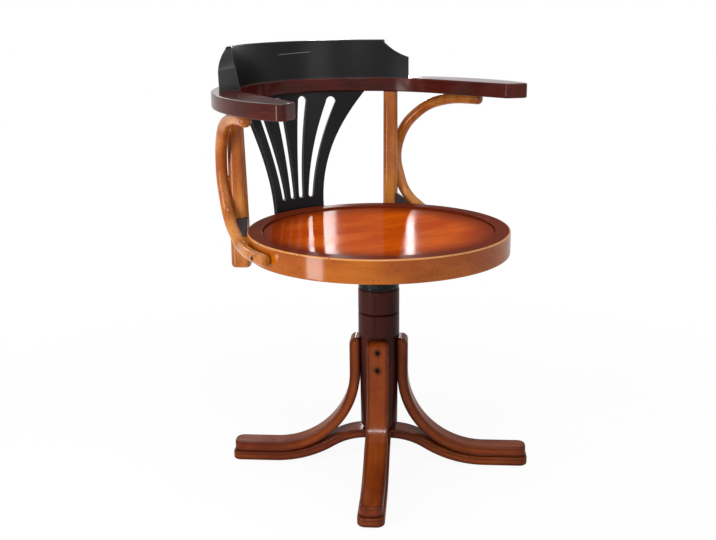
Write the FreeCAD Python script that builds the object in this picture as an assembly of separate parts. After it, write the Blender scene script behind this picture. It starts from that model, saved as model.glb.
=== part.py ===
import FreeCAD, Part
import math
import os
from FreeCAD import Vector

# A swivel armchair: a turned post on four bent strip feet carries a round seat in a
# bentwood ring, and a bent arm rail with a crest stands over it on posts and braces.
# Millimetres and degrees. The origin is on the floor, on the swivel's axis; +Z is up,
# the sitter looks along -Y and the sitter's left hand is at +X.

# Clearances
SHAFT_PLAY = 0.05
RUN_GAP = 0.3
JOINERY_GAP = 0.2

# Feet: four upper strips over two lower strips that cross under the column
BASE_TURN = 2.4
LEG_COUNT = 4
STRIP_W = 42.0
LOWER_W = 49.0
LOWER_T = 17.0
UPPER_T = 20.0
FOOT_R = 290.0
UPPER_SETBACK = 3.0
TIP_CORNER_R = 15.5
STRIP_ARRIS = 3.5
CROSSING_TOP = 70.0
CROSSING_FLAT_R = 22.0
CONVEX_R = 140.0
CONCAVE_R = 204.0
LEG_TOP = 257.0
LEG_TOP_ROUND = 12.0

# Column
COLUMN_FACE_R = 36.0
COLUMN_FOOT_R = 35.5
COLUMN_FOOT_ROUND = 11.0
COLUMN_NECK_R = 38.0
HEAD_R = 39.5
HEAD_ROUND = 3.0
HEAD_BOTTOM = 263.0
COLUMN_TOP = 354.0
GROOVE_Z = 307.0
GROOVE_DEPTH = 2.2
NECK_STEP = 5.0
COLUMN_BORE_BOTTOM = 190.0

# Swivel
SPINDLE_R = 12.5
SOCKET_WALL = 4.5
STUB_R = 9.0
COLLAR_R = 39.0
COLLAR_H = 13.0
COLLAR_CHAMFER = 1.2
THRUST_R = 30.0
THRUST_H = 4.7
HUB_COVER_R = 59.0
HUB_COVER_T = 5.0
HUB_FLANGE_T = 7.0
HUB_H = 44.5
HUB_TUBE_R = 30.0
BUSH_WALL = 3.45
GUSSET_T = 5.0
GUSSET_FOOT_R = 55.0
GUSSET_TOP_R = 76.0
GUSSET_LAP = 1.0
PLATE_W = 180.0
PLATE_T = 4.0
PLATE_CORNER_R = 12.0
PLATE_HOLE_PLAY = 1.0
NUT_FLATS = 27.0
NUT_H = 12.0
NUT_WASHER_R = 20.0
NUT_WASHER_T = 3.0
STUB_PROUD = 2.0

# Seat
RING_R = 247.0
RING_H = 43.5
RING_W = 40.0
RING_SHELF_W = 11.0
RING_REBATE_H = 13.0
RING_TOP_ROUND = 3.0
RING_INNER_ROUND = 2.0
PANEL_T = 9.0
PANEL_DISH = 4.0
PANEL_LIP = 12.0
PANEL_SOFT = 1.2
PANEL_PLAY = 0.3
BEARER_X = 60.0
BEARER_W = 45.0
BEARER_H = 22.0
BEARER_TONGUE_H = 12.0
BEARER_TONGUE_L = 20.0

# Posts, which stand against the outside of the ring
POST_ANGLE = 45.0
POST_LOW_RADIAL = 38.0
POST_LOW_TANGENT = 30.0
POST_HIGH_RADIAL = 29.0
POST_HIGH_TANGENT = 29.0
POST_CORNER_R = 11.0
POST_END_ROUND = 7.0
POST_TAIL = 37.0
POST_BITE = 1.0
POST_TOP_OUT = 22.0
TENON_R = 9.0
TENON_H = 20.0

# Braces: a rod that hugs the ring, swings up outside the post and runs forward
# under the arm. Each bend has its degrees from the back, its distance outside the
# ring and its share of the rise from the ring's middle to the arm.
BRACE_ROD_R = 11.0
BRACE_BITE = 1.0
BRACE_END_ROUND = 8.0
BRACE_START = 91.3
BRACE_LEAVES = 71.0
BRACE_LEAD = 36.0
BRACE_TURNS = [50.7, 46.1, 50.1, 60.3, 73.2, 87.5]
BRACE_OUT = [34.5, 49.3, 44.6, 34.3, 23.9, 30.5]
BRACE_SHARES = [0.144, 0.459, 0.716, 0.894, 0.960, 0.960]
BEND_SHARE = 0.45
BLOCK_RUN = 40.0
BLOCK_DEPTH = 20.0
BLOCK_RISE = 20.0
BLOCK_DROP = 10.0
BLOCK_LAP = 3.0

# Splat: a thin board bent to a curve and leaning back, with a fan of four slots. It
# stands behind the ring on a spacer. Sideways sizes follow the board's curve; each
# slot runs through three centres (sideways, up from the ring's top).
SPLAT_T = 7.5
SPLAT_CURVE_R = 199.0
SPLAT_LEAN = 5.8
SPLAT_GAP = 9.0
SPLAT_FOOT_UP = 3.0
SPLAT_HALF_W = 60.0
SPLAT_FLARE_R = 308.0
SPLAT_IN_RAIL = 6.0
SLOT_LOW_W = 12.0
SLOT_HIGH_W = 20.0
SLOT_ROUTES = [
    [(10.5, 25.0), (21.0, 155.0), (30.0, 215.5)],
    [(33.6, 24.5), (58.6, 133.0), (91.3, 210.5)],
]
SPACER_W = 84.0
SPACER_BELOW_RING = 5.0

# Arm rail: one hoop, level, seen from above as tangent arcs
RAIL_BOTTOM = 700.0
RAIL_H = 28.0
RAIL_ARRIS = 3.0
RAIL_CENTRE_Y = 55.0
RAIL_INSIDE_RING = 28.0
RAIL_W = 51.0
RAIL_SIDE_SWELL = 101.7
RAIL_TIP_R = 230.0
RAIL_INNER_TURN = 80.6
RAIL_BACK_TURN = 42.5
RAIL_INNER_RUN = 180.2
RAIL_TIP_DROP = 88.0
RAIL_OUTER_CORNER_R = 12.0
RAIL_INNER_CORNER_R = 8.0

# Crest: a thick board bent on the rail's own centre, with a sloping back and shoulders
CREST_H = 75.5
CREST_TURN = 65.5
CREST_END_SKEW = 25.0
CREST_INSET = 3.0
CREST_FACE_LEAN = 13.0
CREST_FOOT_T = 37.0
CREST_BELLY = (38.0, 31.0)
CREST_BACK_MID = (33.5, 53.0)
CREST_TOP_BACK = 24.0
CREST_TOP_ROUND = 3.0
SHOULDER_RUN = 62.0
SHOULDER_DROP = 32.0
SHOULDER_SAG = 5.0
SHOULDER_SLOPE = 19.0
DOWEL_R = 5.0
DOWEL_L = 28.0
DOWEL_ANGLES = [-50.0, -25.0, 0.0, 25.0, 50.0]

# Screws and bolts
LEG_SCREW_Z = [204.0, 239.0]
LEG_SCREW_HEAD_R = 3.8
LEG_SCREW_HEAD_H = 3.5
LEG_SCREW_SHANK_R = 2.5
LEG_SCREW_SINK = 7.0
LEG_SCREW_L = 27.0
COUNTERBORE_R = 4.2
FOOT_SCREW_IN = [60.0, 24.0]
WOOD_SCREW_HEAD_R = 4.5
WOOD_SCREW_HEAD_H = 3.0
WOOD_SCREW_SHANK_R = 2.2
WOOD_SCREW_SINK = 1.0
FOOT_SCREW_L = 31.0
BASE_BOLT_R = 5.0
BASE_BOLT_L = 96.0
BASE_BOLT_HEAD_R = 14.0
BASE_BOLT_HEAD_H = 4.0
SET_SCREW_R = 2.5
SET_SCREW_TURN = 8.6
HUB_BOLT_PCD_R = 51.0
HUB_BOLT_FLATS = 13.0
HUB_BOLT_HEAD_H = 5.5
HUB_BOLT_R = 4.0
PLATE_SCREW_Y = 72.0
PLATE_SCREW_HEAD_R = 6.0
PLATE_SCREW_HEAD_H = 3.0
PLATE_SCREW_R = 3.0
PLATE_SCREW_L = 22.0
BEARER_SCREW_IN = 10.0
BEARER_SCREW_L = 19.0
POST_BOLT_UP = [12.0, 24.0]
POST_BOLT_HEAD_R = 5.0
POST_BOLT_HEAD_H = 3.5
POST_BOLT_R = 3.0
POST_BOLT_IN_POST = 22.0
SPLAT_SCREW_X = 30.0
SPLAT_SCREW_UP = 19.5
SPLAT_SCREW_PROUD = 1.5
SPLAT_SCREW_HEAD_R = 4.5
SPLAT_SCREW_HEAD_H = 2.5
SPLAT_SCREW_L = 32.0
BRACE_SCREW_R = 2.2
BRACE_SCREW_HEAD_R = 4.0
BRACE_SCREW_SINK = 5.0
BRACE_SCREW_HEAD_H = 2.5
BRACE_SCREW_L = 34.0
BRACE_SCREW_RING_AT = 84.0
BRACE_SCREW_RAIL_BACK = 30.0
PLUG_R = 7.0
PLUG_SHANK_R = 5.0
PLUG_SHANK_L = 8.0
PLUG_DOME = 2.5
PLUG_ANGLE = 95.0
PLUG_UP = 30.0
PLUG_BITE = 1.0

# Heights and radii that follow from the sizes above
RING_LEDGE_R = RING_R - RING_W
RING_REBATE_R = RING_LEDGE_R + RING_SHELF_W
BEARER_TONGUE_R = RING_LEDGE_R + BEARER_TONGUE_L
BEARER_SCREW_AT_R = RING_LEDGE_R + BEARER_SCREW_IN
POST_TOP_R = RING_R + POST_TOP_OUT
RAIL_INNER_R = RING_R - RAIL_INSIDE_RING
RAIL_BACK_R = RAIL_INNER_R + RAIL_W
RAIL_SIDE_R = RAIL_BACK_R + RAIL_SIDE_SWELL
COLLAR_TOP = COLUMN_TOP + COLLAR_H
THRUST_TOP = COLLAR_TOP + THRUST_H
HUB_BOTTOM = THRUST_TOP + RUN_GAP
FLANGE_BOTTOM = HUB_BOTTOM + HUB_COVER_T
HUB_TOP = FLANGE_BOTTOM + HUB_H
PLATE_TOP = HUB_TOP + PLATE_T
RING_BOTTOM = PLATE_TOP
RING_TOP = RING_BOTTOM + RING_H
RING_MID = RING_BOTTOM + RING_H / 2
LEDGE_TOP = RING_TOP - RING_REBATE_H
SPLAT_FOOT = RING_BOTTOM + SPLAT_FOOT_UP
SOCKET_R = SPINDLE_R + SOCKET_WALL
BUSH_BORE_R = SPINDLE_R + SHAFT_PLAY
BUSH_R = BUSH_BORE_R + BUSH_WALL
SHOULDER_Z = PLATE_TOP + RUN_GAP
NUT_BOTTOM = SHOULDER_Z + NUT_WASHER_T
SPINDLE_TOP = NUT_BOTTOM + NUT_H + STUB_PROUD
RAIL_TOP = RAIL_BOTTOM + RAIL_H
CREST_TOP = RAIL_TOP + CREST_H
FRONT_LEG_ANGLE = BASE_TURN - 135.0
LEG_ANGLES = [FRONT_LEG_ANGLE + 360.0 / LEG_COUNT * k for k in range(LEG_COUNT)]
STRIP_BEND = math.acos(1 - (CROSSING_TOP - LOWER_T) / (CONVEX_R + CONCAVE_R))
FOOT_FLAT_R = CROSSING_FLAT_R + (CONVEX_R + CONCAVE_R) * math.sin(STRIP_BEND)
QUARTERS = (0.0, 90.0, 180.0, 270.0)
UP = Vector(0, 0, 1)
ORIGIN = Vector(0, 0, 0)


def polar(radius, angle, z=0.0):
    """A point at an angle measured from +X towards +Y."""
    turn = math.radians(angle)
    return Vector(radius * math.cos(turn), radius * math.sin(turn), z)


def from_back(radius, angle, z=0.0):
    """A point at an angle measured from the chair's back towards the sitter's left."""
    return polar(radius, 90.0 - angle, z)


def joined(shape, other):
    """Two solids made one, without seams on faces that run on."""
    return shape.fuse(other).removeSplitter().Solids[0]


def rod(radius, start, direction, length):
    return Part.makeCylinder(radius, length, start, direction)


def tube(outer, inner, bottom, top):
    height = top - bottom
    wall = rod(outer, Vector(0, 0, bottom), UP, height)
    return wall.cut(rod(inner, Vector(0, 0, bottom), UP, height))


def outline(start, steps):
    """A closed wire: each step is one end point, or a mid point and an end point of an arc."""
    edges = []
    here = start
    for step in steps + [(start,)]:
        end = step[-1]
        if (end - here).Length < 1e-6:
            continue
        if len(step) == 2:
            edges.append(Part.Arc(here, step[0], end).toShape())
        else:
            edges.append(Part.LineSegment(here, end).toShape())
        here = end
    return Part.Wire(edges)


def turned(start, steps, centre=ORIGIN):
    """A solid turned about a vertical axis from an outline in the XZ plane."""
    return Part.Face(outline(start, steps)).revolve(centre, UP, 360)


def section(r, z):
    return Vector(r, 0, z)


def corner_mid(centre_r, centre_z, radius, angle):
    """The middle of a rounding in the XZ plane."""
    turn = math.radians(angle)
    return section(centre_r + radius * math.cos(turn), centre_z + radius * math.sin(turn))


def edges_where(shape, test):
    return [edge for edge in shape.Edges if test(edge)]


def turned_about_z(shape, angle):
    copy = shape.copy()
    copy.rotate(ORIGIN, UP, angle)
    return copy


def mirrored(shape):
    return shape.mirror(ORIGIN, Vector(1, 0, 0))


def both_sides(shapes):
    return shapes + [mirrored(shape) for shape in shapes]


def cut_by(shape, tools):
    return shape.cut(Part.makeCompound(tools))


def group(shapes):
    return Part.makeCompound(shapes)


def hexagon(flats, bottom, height, centre):
    """A hexagonal prism, measured across its flats."""
    corner_r = flats / 2 / math.cos(math.radians(30))
    corners = [centre + polar(corner_r, 60.0 * k, bottom) for k in range(6)]
    face = Part.Face(Part.makePolygon(corners + corners[:1]))
    return face.extrude(UP * height)


def headed(head_r, head_h, shank_r, length, at, inwards):
    """A screw whose head starts at a point and whose shank runs on inwards."""
    return joined(Part.makeCylinder(head_r, head_h, at, inwards), rod(shank_r, at, inwards, length))


def countersunk(head_r, head_h, shank_r, length, at, inwards):
    head = Part.makeCone(head_r, shank_r, head_h, at, inwards)
    return joined(head, rod(shank_r, at, inwards, length))


# Feet

def lower_strip_blank():
    """One arched strip from foot to foot along X, before it is halved at the crossing."""
    def side(sign, offset):
        """The bend's points on one side, for the top (offset 0) or the underside."""
        bend = STRIP_BEND
        convex = CONVEX_R - offset
        concave = CONCAVE_R + offset
        crown = CROSSING_TOP - CONVEX_R
        points = []
        for angle in (0, bend / 2, bend):
            points.append(section(sign * (CROSSING_FLAT_R + convex * math.sin(angle)),
                                  crown + convex * math.cos(angle)))
        for angle in (bend / 2, 0):
            points.append(section(sign * (FOOT_FLAT_R - concave * math.sin(angle)),
                                  LOWER_T + CONCAVE_R - concave * math.cos(angle)))
        return points

    right_top = side(1, 0)
    right_under = side(1, LOWER_T)
    left_top = side(-1, 0)
    left_under = side(-1, LOWER_T)
    steps = [(right_top[1], right_top[2]), (right_top[3], right_top[4]),
             (section(FOOT_R, LOWER_T),), (section(FOOT_R, 0),), (right_under[4],),
             (right_under[3], right_under[2]), (right_under[1], right_under[0]),
             (left_under[0],), (left_under[1], left_under[2]),
             (left_under[3], left_under[4]), (section(-FOOT_R, 0),),
             (section(-FOOT_R, LOWER_T),), (left_top[4],),
             (left_top[3], left_top[2]), (left_top[1], left_top[0])]
    return strip_from(outline(right_top[0], steps), LOWER_W)


def strip_from(wire, width):
    """A strip with rounded foot corners and softened long edges."""
    strip = Part.Face(wire).extrude(Vector(0, width, 0))
    strip.translate(Vector(0, -width / 2, 0))
    tip = FOOT_R - UPPER_SETBACK

    def foot_corner(edge):
        box = edge.BoundBox
        return box.ZLength > LOWER_T / 2 and box.XLength < 1e-3 and abs(edge.CenterOfMass.x) >= tip - 1e-3

    strip = strip.makeFillet(TIP_CORNER_R, edges_where(strip, foot_corner))

    def long_edge(edge):
        box = edge.BoundBox
        on_side = box.YLength < 1e-3 and abs(abs(edge.CenterOfMass.y) - width / 2) < 1e-3
        at_tip = abs(edge.CenterOfMass.x) > tip - TIP_CORNER_R and box.ZLength < 1e-3
        return (on_side and box.XLength > 1e-3) or at_tip

    return strip.makeFillet(STRIP_ARRIS, edges_where(strip, long_edge))


def lower_strips():
    """Two strips, halved into each other where they cross."""
    blank = lower_strip_blank()
    half = CROSSING_TOP - LOWER_T / 2
    notch = Part.makeBox(LOWER_W, LOWER_W * 2, LOWER_T, Vector(-LOWER_W / 2, -LOWER_W, half))
    under_notch = notch.translated(Vector(0, 0, -LOWER_T))
    first = turned_about_z(blank.cut(notch), FRONT_LEG_ANGLE)
    second = turned_about_z(blank.cut(under_notch), FRONT_LEG_ANGLE + 90)
    return [first, second]


def upper_leg_blank():
    """One bent strip along +X, flat on the lower strip and upright against the column."""
    inner_bend = FOOT_FLAT_R - COLUMN_FACE_R
    outer_bend = inner_bend - UPPER_T
    centre_z = LOWER_T + inner_bend
    face_r = COLUMN_FACE_R + UPPER_T
    top = LOWER_T + UPPER_T
    tip = FOOT_R - UPPER_SETBACK
    round_r = face_r - LEG_TOP_ROUND
    round_z = LEG_TOP - LEG_TOP_ROUND
    steps = [(section(COLUMN_FACE_R, centre_z),),
             (corner_mid(FOOT_FLAT_R, centre_z, inner_bend, 225), section(FOOT_FLAT_R, LOWER_T)),
             (section(tip, LOWER_T),),
             (section(tip, top),),
             (section(FOOT_FLAT_R, top),),
             (corner_mid(FOOT_FLAT_R, centre_z, outer_bend, 225), section(face_r, centre_z)),
             (section(face_r, round_z),),
             (corner_mid(round_r, round_z, LEG_TOP_ROUND, 45), section(round_r, LEG_TOP))]
    return strip_from(outline(section(COLUMN_FACE_R, LEG_TOP), steps), STRIP_W)


def leg_screw(z):
    start = COLUMN_FACE_R + UPPER_T - LEG_SCREW_SINK + LEG_SCREW_HEAD_H
    return headed(LEG_SCREW_HEAD_R, LEG_SCREW_HEAD_H, LEG_SCREW_SHANK_R, LEG_SCREW_L,
                  section(start, z), Vector(-1, 0, 0))


def counterbore(z):
    start = COLUMN_FACE_R + UPPER_T - LEG_SCREW_SINK
    return rod(COUNTERBORE_R, section(start, z), Vector(1, 0, 0), LEG_SCREW_SINK * 2)


def leg_screws():
    return [turned_about_z(leg_screw(z), angle) for angle in LEG_ANGLES for z in LEG_SCREW_Z]


def foot_screws():
    return [countersunk(WOOD_SCREW_HEAD_R, WOOD_SCREW_HEAD_H, WOOD_SCREW_SHANK_R, FOOT_SCREW_L,
                        polar(FOOT_R - inwards, angle, WOOD_SCREW_SINK), UP)
            for angle in LEG_ANGLES for inwards in FOOT_SCREW_IN]


def foot_screw_mouths():
    return [rod(WOOD_SCREW_HEAD_R, polar(FOOT_R - inwards, angle), UP, WOOD_SCREW_SINK)
            for angle in LEG_ANGLES for inwards in FOOT_SCREW_IN]


def base_bolt():
    under = CROSSING_TOP - LOWER_T
    return headed(BASE_BOLT_HEAD_R, BASE_BOLT_HEAD_H, BASE_BOLT_R, BASE_BOLT_L,
                  Vector(0, 0, under - BASE_BOLT_HEAD_H), UP)


# Column and swivel

def column_blank():
    """The turned post, with its head, groove and rounded foot."""
    foot_mid = corner_mid(COLUMN_FOOT_R - COLUMN_FOOT_ROUND, CROSSING_TOP + COLUMN_FOOT_ROUND,
                          COLUMN_FOOT_ROUND, -45)
    head_mid = corner_mid(HEAD_R - HEAD_ROUND, COLUMN_TOP - HEAD_ROUND, HEAD_ROUND, 45)
    steps = [(section(COLUMN_FOOT_R - COLUMN_FOOT_ROUND, CROSSING_TOP),),
             (foot_mid, section(COLUMN_FOOT_R, CROSSING_TOP + COLUMN_FOOT_ROUND)),
             (section(COLUMN_NECK_R, HEAD_BOTTOM - NECK_STEP),),
             (section(HEAD_R, HEAD_BOTTOM),),
             (section(HEAD_R, GROOVE_Z - GROOVE_DEPTH),),
             (section(HEAD_R - GROOVE_DEPTH, GROOVE_Z),),
             (section(HEAD_R, GROOVE_Z + GROOVE_DEPTH),),
             (section(HEAD_R, COLUMN_TOP - HEAD_ROUND),),
             (head_mid, section(HEAD_R - HEAD_ROUND, COLUMN_TOP)),
             (section(0, COLUMN_TOP),)]
    return turned(section(0, CROSSING_TOP), steps)


def column_flats():
    flat = Part.makeBox(HEAD_R, STRIP_W, LEG_TOP - CROSSING_TOP,
                        Vector(COLUMN_FACE_R, -STRIP_W / 2, CROSSING_TOP))
    return [turned_about_z(flat, angle) for angle in LEG_ANGLES]


def set_screw():
    """A grub screw in the groove that grips the socket."""
    angle = FRONT_LEG_ANGLE + SET_SCREW_TURN
    start = HEAD_R - GROOVE_DEPTH
    return rod(SET_SCREW_R, polar(start, angle, GROOVE_Z), polar(-1, angle), start - SOCKET_R)


def column():
    bore = rod(SOCKET_R, Vector(0, 0, COLUMN_BORE_BOTTOM), UP, COLUMN_TOP - COLUMN_BORE_BOTTOM)
    return cut_by(column_blank(), column_flats() + leg_screws() + [bore, base_bolt(), set_screw()])


def collar():
    inner = SPINDLE_R
    steps = [(section(COLLAR_R - COLLAR_CHAMFER, COLUMN_TOP),),
             (section(COLLAR_R, COLUMN_TOP + COLLAR_CHAMFER),),
             (section(COLLAR_R, COLLAR_TOP - COLLAR_CHAMFER),),
             (section(COLLAR_R - COLLAR_CHAMFER, COLLAR_TOP),),
             (section(inner, COLLAR_TOP),)]
    return turned(section(inner, COLUMN_TOP), steps)


def spindle():
    steps = [(section(SPINDLE_R, COLUMN_BORE_BOTTOM),),
             (section(SPINDLE_R, SHOULDER_Z),),
             (section(STUB_R, SHOULDER_Z),),
             (section(STUB_R, SPINDLE_TOP),),
             (section(0, SPINDLE_TOP),)]
    return turned(section(0, COLUMN_BORE_BOTTOM), steps)


def spindle_nut():
    nut = hexagon(NUT_FLATS, NUT_BOTTOM, NUT_H, ORIGIN)
    return nut.cut(rod(STUB_R, Vector(0, 0, NUT_BOTTOM), UP, NUT_H))


def hub():
    """The flange and tube that turn on the spindle, with four gussets up to the plate."""
    tube_bottom = FLANGE_BOTTOM + HUB_FLANGE_T
    solid = tube(HUB_COVER_R, BUSH_R, FLANGE_BOTTOM, tube_bottom)
    solid = solid.fuse(tube(HUB_TUBE_R, BUSH_R, tube_bottom, HUB_TOP))
    root = HUB_TUBE_R - GUSSET_LAP
    corners = [section(root, tube_bottom - GUSSET_LAP), section(GUSSET_FOOT_R, tube_bottom - GUSSET_LAP),
               section(GUSSET_FOOT_R, tube_bottom + GUSSET_LAP), section(GUSSET_TOP_R, HUB_TOP - GUSSET_T),
               section(GUSSET_TOP_R, HUB_TOP), section(root, HUB_TOP)]
    web = Part.Face(Part.makePolygon(corners + corners[:1])).extrude(Vector(0, GUSSET_T, 0))
    web.translate(Vector(0, -GUSSET_T / 2, 0))
    for angle in QUARTERS:
        solid = solid.fuse(turned_about_z(web, angle))
    return cut_by(solid.removeSplitter(), hub_bolts())


def hub_bolts():
    bolts = []
    for angle in QUARTERS:
        centre = polar(HUB_BOLT_PCD_R, angle + 45)
        head = hexagon(HUB_BOLT_FLATS, HUB_BOTTOM - HUB_BOLT_HEAD_H, HUB_BOLT_HEAD_H, centre)
        shank_l = HUB_COVER_T + HUB_FLANGE_T
        bolts.append(joined(head, rod(HUB_BOLT_R, centre + Vector(0, 0, HUB_BOTTOM), UP, shank_l)))
    return bolts


def hub_cover():
    return cut_by(tube(HUB_COVER_R, SPINDLE_R + PLATE_HOLE_PLAY, HUB_BOTTOM, FLANGE_BOTTOM), hub_bolts())


def seat_plate():
    plate = Part.makeBox(PLATE_W, PLATE_W, PLATE_T, Vector(-PLATE_W / 2, -PLATE_W / 2, HUB_TOP))
    upright = edges_where(plate, lambda edge: edge.BoundBox.ZLength > PLATE_T / 2)
    plate = plate.makeFillet(PLATE_CORNER_R, upright)
    hole = rod(SPINDLE_R + PLATE_HOLE_PLAY, Vector(0, 0, HUB_TOP), UP, PLATE_T)
    return cut_by(plate, plate_screws() + [hole])


def plate_screws():
    return [headed(PLATE_SCREW_HEAD_R, PLATE_SCREW_HEAD_H, PLATE_SCREW_R, PLATE_SCREW_L,
                   Vector(x, y, HUB_TOP - PLATE_SCREW_HEAD_H), UP)
            for x in (-BEARER_X, BEARER_X) for y in (-PLATE_SCREW_Y, PLATE_SCREW_Y)]


# Seat

def bearer_tongues(play):
    """The thin ends of a batten, which are housed in the ring's underside."""
    width = BEARER_W + 2 * play
    slab = Part.makeBox(width, 2 * RING_R, BEARER_TONGUE_H + play,
                        Vector(BEARER_X - width / 2, -RING_R, RING_BOTTOM))
    return slab.common(rod(BEARER_TONGUE_R + play, Vector(0, 0, RING_BOTTOM), UP, BEARER_H))


def bearer_blank():
    """The batten at +X: full depth inside the ring, thin where it enters it."""
    deep = Part.makeBox(BEARER_W, 2 * RING_R, BEARER_H,
                        Vector(BEARER_X - BEARER_W / 2, -RING_R, RING_BOTTOM))
    deep = deep.common(rod(RING_LEDGE_R - JOINERY_GAP, Vector(0, 0, RING_BOTTOM), UP, BEARER_H))
    return joined(deep, bearer_tongues(0))


def bearer_screws():
    reach = math.sqrt(BEARER_SCREW_AT_R ** 2 - BEARER_X ** 2)
    return [countersunk(WOOD_SCREW_HEAD_R, WOOD_SCREW_HEAD_H, WOOD_SCREW_SHANK_R, BEARER_SCREW_L,
                        Vector(x, y, RING_BOTTOM), UP)
            for x in (-BEARER_X, BEARER_X) for y in (-reach, reach)]


def bearers():
    left = bearer_blank()
    return [cut_by(blank, plate_screws() + bearer_screws()) for blank in (left, mirrored(left))]


def ring_blank():
    top_r = RING_R - RING_TOP_ROUND
    top_z = RING_TOP - RING_TOP_ROUND
    low_z = RING_BOTTOM + RING_TOP_ROUND
    lip_r = RING_REBATE_R + RING_INNER_ROUND
    lip_z = RING_TOP - RING_INNER_ROUND
    steps = [(section(top_r, RING_BOTTOM),),
             (corner_mid(top_r, low_z, RING_TOP_ROUND, -45), section(RING_R, low_z)),
             (section(RING_R, top_z),),
             (corner_mid(top_r, top_z, RING_TOP_ROUND, 45), section(top_r, RING_TOP)),
             (section(lip_r, RING_TOP),),
             (corner_mid(lip_r, lip_z, RING_INNER_ROUND, 135), section(RING_REBATE_R, lip_z)),
             (section(RING_REBATE_R, LEDGE_TOP),),
             (section(RING_LEDGE_R, LEDGE_TOP),)]
    return turned(section(RING_LEDGE_R, RING_BOTTOM), steps)


def ring_solid():
    """The ring's outside as a full drum, for cutting what seats against it."""
    return rod(RING_R, Vector(0, 0, RING_BOTTOM - RING_H), UP, RING_H * 3)


def seat_ring():
    pocket = bearer_tongues(JOINERY_GAP)
    tools = [pocket, mirrored(pocket)]
    tools += bearer_screws() + post_bolts() + splat_screws() + ring_plugs() + brace_screws()
    return cut_by(ring_blank(), tools)


def seat_panel():
    """A thin round panel, hollowed a little inside a flat lip, that drops in the rebate."""
    edge_r = RING_REBATE_R - PANEL_PLAY
    top = LEDGE_TOP + PANEL_T
    dish_r = edge_r - PANEL_LIP
    ball_r = (dish_r ** 2 + PANEL_DISH ** 2) / (2 * PANEL_DISH)
    ball_z = top - PANEL_DISH + ball_r
    half_turn = math.degrees(math.asin(dish_r / ball_r)) / 2
    steps = [(section(edge_r, LEDGE_TOP),),
             (section(edge_r, top - PANEL_SOFT),),
             (section(edge_r - PANEL_SOFT, top),),
             (section(dish_r, top),),
             (corner_mid(0, ball_z, ball_r, half_turn - 90), section(0, top - PANEL_DISH))]
    return turned(section(0, LEDGE_TOP), steps)


# Posts and braces

def post_centre_r(z):
    """The post leans out a little, from its bite on the ring to its place in the rail."""
    low_r = RING_R - POST_BITE + POST_LOW_RADIAL / 2
    share = (z - RING_BOTTOM) / (RAIL_BOTTOM - RING_BOTTOM)
    return low_r + (POST_TOP_R - low_r) * share


def post_section(z, radial, tangent):
    """A rectangle with round corners, square to the radius, at +X."""
    centre = post_centre_r(z)
    half_r = radial / 2
    half_t = tangent / 2
    steps = []
    corners = [(half_r, half_t, 45), (-half_r, half_t, 135), (-half_r, -half_t, 225), (half_r, -half_t, 315)]
    start = Vector(centre + half_r, half_t - POST_CORNER_R, z)
    for x, y, turn in corners:
        mid_x = centre + x - math.copysign(POST_CORNER_R, x)
        mid_y = y - math.copysign(POST_CORNER_R, y)
        ends = [Vector(mid_x, mid_y, z) + polar(POST_CORNER_R, turn + swing) for swing in (-45, 0, 45)]
        steps += [(ends[0],), (ends[1], ends[2])]
    return outline(start, steps)


def post_blank():
    """The post at the sitter's left, with its tenon, before the ring hollows it."""
    low = RING_BOTTOM - POST_TAIL
    sections = [post_section(low, POST_LOW_RADIAL, POST_LOW_TANGENT),
                post_section(RAIL_BOTTOM, POST_HIGH_RADIAL, POST_HIGH_TANGENT)]
    post = Part.makeLoft(sections, True, True)
    post = post.makeFillet(POST_END_ROUND, edges_where(post, lambda edge: edge.BoundBox.ZMax < low + 1e-3))
    post = joined(post, rod(TENON_R, Vector(POST_TOP_R, 0, RAIL_BOTTOM), UP, TENON_H))
    return turned_about_z(post, 90 - POST_ANGLE)


def post_bolts():
    """Two bolts a post, put in from inside the ring under the seat."""
    bolts = []
    for up in POST_BOLT_UP:
        start = from_back(RING_LEDGE_R, POST_ANGLE, RING_BOTTOM + up)
        length = RING_R - RING_LEDGE_R + POST_BOLT_IN_POST
        bolts.append(headed(POST_BOLT_HEAD_R, POST_BOLT_HEAD_H, POST_BOLT_R, length,
                            start, from_back(1, POST_ANGLE)))
    return both_sides(bolts)


def posts():
    left = post_blank().cut(ring_solid())
    return [cut_by(blank, post_bolts() + brace_screws()) for blank in (left, mirrored(left))]


def brace_route():
    """The rod's route at the sitter's left: where it leaves the ring, then its bends."""
    hug_r = RING_R + BRACE_ROD_R - BRACE_BITE
    leaves = from_back(hug_r, BRACE_LEAVES, RING_MID)
    along = from_back(1, BRACE_LEAVES - 90)
    points = [leaves, leaves + along * BRACE_LEAD]
    rise = RAIL_BOTTOM - RING_MID
    for angle, outside, share in zip(BRACE_TURNS, BRACE_OUT, BRACE_SHARES):
        points.append(from_back(RING_R + outside, angle, RING_MID + rise * share))
    return points


def bent_path(points, first_edge):
    """Straight runs through the points, joined by tangent arcs as large as they allow."""
    edges = [first_edge]
    here = points[0]
    for before, corner, after in zip(points, points[1:], points[2:]):
        run_in = corner - before
        run_out = after - corner
        setback = BEND_SHARE * min(run_in.Length, run_out.Length)
        way_in = Vector(run_in).normalize()
        way_out = Vector(run_out).normalize()
        turn = way_in.getAngle(way_out)
        inside = (way_out - way_in).normalize()
        start = corner - way_in * setback
        end = corner + way_out * setback
        mid = corner + inside * setback * math.tan(turn / 4)
        edges.append(Part.LineSegment(here, start).toShape())
        edges.append(Part.Arc(start, mid, end).toShape())
        print("brace bend radius", round(setback / math.tan(turn / 2), 1))
        here = end
    edges.append(Part.LineSegment(here, points[-1]).toShape())
    return Part.Wire(edges)


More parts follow.
